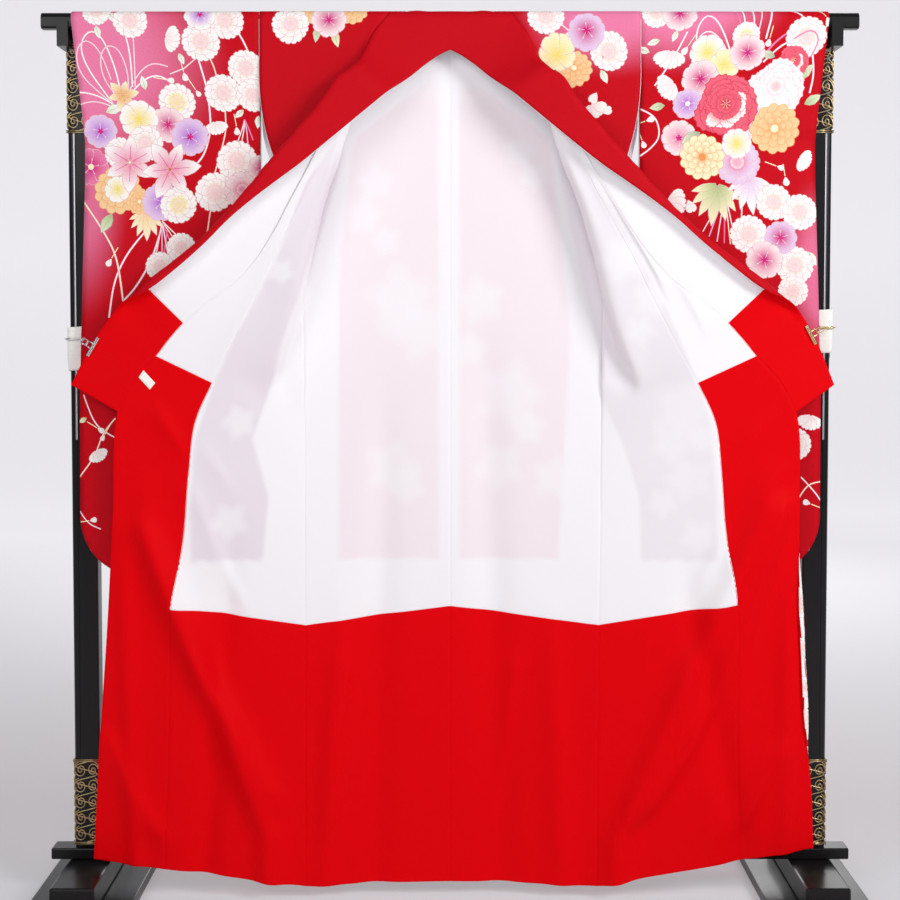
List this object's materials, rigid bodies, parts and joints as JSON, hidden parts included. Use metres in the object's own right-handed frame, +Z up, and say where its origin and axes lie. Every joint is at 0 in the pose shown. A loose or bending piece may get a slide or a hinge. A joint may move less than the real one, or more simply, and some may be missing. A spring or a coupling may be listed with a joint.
{
  "type": "furisode on a kimono stand",
  "caption": "Long-sleeved furisode hung open over the bar of a lacquered floor stand, its fronts turned out and clipped to the posts so that the lining shows.",
  "frame": {"origin": "on the floor below the middle of the whole object", "axes": "+Z up, +X to the viewer's right, -Y towards the viewer, so the open fronts face -Y"},
  "size_m": [1.512, 0.44, 1.6208],
  "materials": {
    "crimson_crepe": "printed silk crepe, crimson ground",
    "red_hem_silk": "bright red silk",
    "white_lining_silk": "thin white silk",
    "white_cotton": "plain woven cotton",
    "black_lacquer": "glossy black lacquer with gold scrolls on the posts",
    "clip_steel": "satin",
    "clip_brass": "satin"
  },
  "bodies": {
    "root": {"back_hem_lining_left": "red_hem_silk", "back_hem_lining_right": "red_hem_silk", "back_left": "crimson_crepe", "back_lining_left": "white_lining_silk", "back_lining_right": "white_lining_silk", "back_right": "crimson_crepe", "bar_rest_left": "black_lacquer", "bar_rest_right": "black_lacquer", "clip_left": "clip_steel", "clip_right": "clip_brass", "clip_wire_left": "clip_steel", "clip_wire_right": "clip_brass", "collar": "crimson_crepe", "collar_lining_left": "white_lining_silk", "collar_lining_right": "white_lining_silk", "collar_tip_lining_left": "red_hem_silk", "collar_tip_lining_right": "red_hem_silk", "foot_beam_left": "black_lacquer", "foot_beam_right": "black_lacquer", "foot_board_left": "black_lacquer", "foot_board_right": "black_lacquer", "front_hem_lining_left": "red_hem_silk", "front_hem_lining_right": "red_hem_silk", "front_left": "crimson_crepe", "front_lining_left": "white_lining_silk", "front_lining_right": "white_lining_silk", "front_right": "crimson_crepe", "label": "white_cotton", "lower_rail": "black_lacquer", "okumi_hem_lining_left": "red_hem_silk", "okumi_hem_lining_right": "red_hem_silk", "okumi_left": "crimson_crepe", "okumi_lining_left": "white_lining_silk", "okumi_lining_right": "white_lining_silk", "okumi_right": "crimson_crepe", "post_left": "black_lacquer", "post_right": "black_lacquer", "post_wrap_left": "white_cotton", "post_wrap_right": "white_cotton", "sleeve_left": "crimson_crepe", "sleeve_right": "crimson_crepe", "top_bar": "black_lacquer"}
  },
  "joints": []
}
